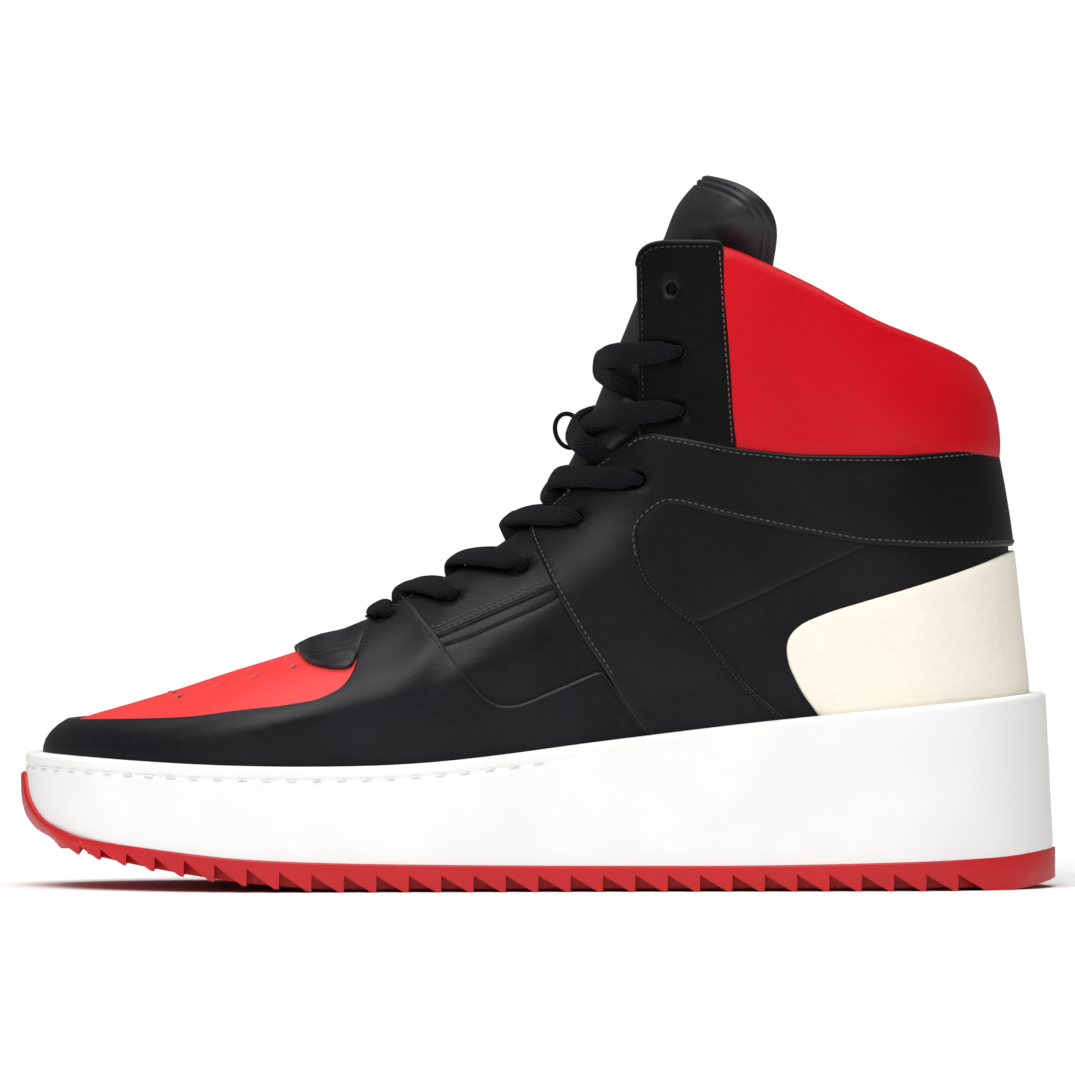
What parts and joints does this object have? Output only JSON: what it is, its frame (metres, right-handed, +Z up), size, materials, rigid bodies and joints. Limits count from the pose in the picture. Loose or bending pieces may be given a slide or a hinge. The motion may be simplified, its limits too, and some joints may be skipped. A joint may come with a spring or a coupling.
{
  "type": "basketball high top",
  "caption": "Left basketball high top: layered leather upper with a padded collar, laced throat and sprung padded tongue on a rubber cupsole with a sawtooth outsole.",
  "frame": {"origin": "on the ground, under the middle of the shoe's length and width", "axes": "+X points from the toe to the heel, +Z is up, and -Y is the outer (lateral) side of this left shoe"},
  "size_m": [0.3108, 0.1097, 0.2127],
  "materials": {
    "black_leather": "soft semi-matt, finely grained",
    "red_leather": "soft semi-gloss, finely grained",
    "cream_leather": "smooth semi-matt",
    "red_rubber": "moulded, semi-matt",
    "white_rubber": "moulded, smooth semi-matt",
    "lining": "knitted textile on a thin foam",
    "foam": "open-cell foam",
    "eva": "closed-cell foam",
    "board": "pressed fibre",
    "insole": "brushed textile over foam",
    "steel": "plain",
    "lace": "woven",
    "aglet": "glossy"
  },
  "bodies": {
    "shoe": {"aglet_lateral": "aglet", "aglet_medial": "aglet", "collar": "red_leather", "collar_eyestay_lateral": "black_leather", "collar_eyestay_medial": "black_leather", "collar_foam": "foam", "collar_lining": "lining", "cupsole": "white_rubber", "eyelet_facing_lateral": "lining", "eyelet_facing_medial": "lining", "heel_counter": "cream_leather", "heel_stiffener": "board", "lace": "lace", "lasting_board": "board", "lining": "lining", "lower_eyestay_lateral": "black_leather", "lower_eyestay_medial": "black_leather", "midsole_wedge": "eva", "mudguard": "black_leather", "outsole": "red_rubber", "rear_quarter_lateral": "black_leather", "rear_quarter_medial": "black_leather", "saddle_strap": "black_leather", "shank": "steel", "side_fin_lateral": "black_leather", "side_fin_medial": "black_leather", "side_panel_lateral": "black_leather", "side_panel_medial": "black_leather", "throat_tab": "black_leather", "toe_puff": "board", "vamp": "red_leather"},
    "tongue": {"tongue_outer": "black_leather", "tongue_foam": "foam", "tongue_lining": "lining"},
    "insole": {"insole": "insole"}
  },
  "joints": [
    {"name": "tongue_hinge", "type": "hinge", "parent": "shoe", "child": "tongue", "pos_m": [-0.056, 0, 0.07], "axis": [0, 1, 0], "range_deg": [0, 12], "stiffness_Nm_per_rad": 0.3, "springref_deg": -20.05},
    {"name": "insole_lift", "type": "hinge", "parent": "shoe", "child": "insole", "pos_m": [-0.14, 0, 0.03], "axis": [0, -1, 0], "range_deg": [0, 4]}
  ]
}
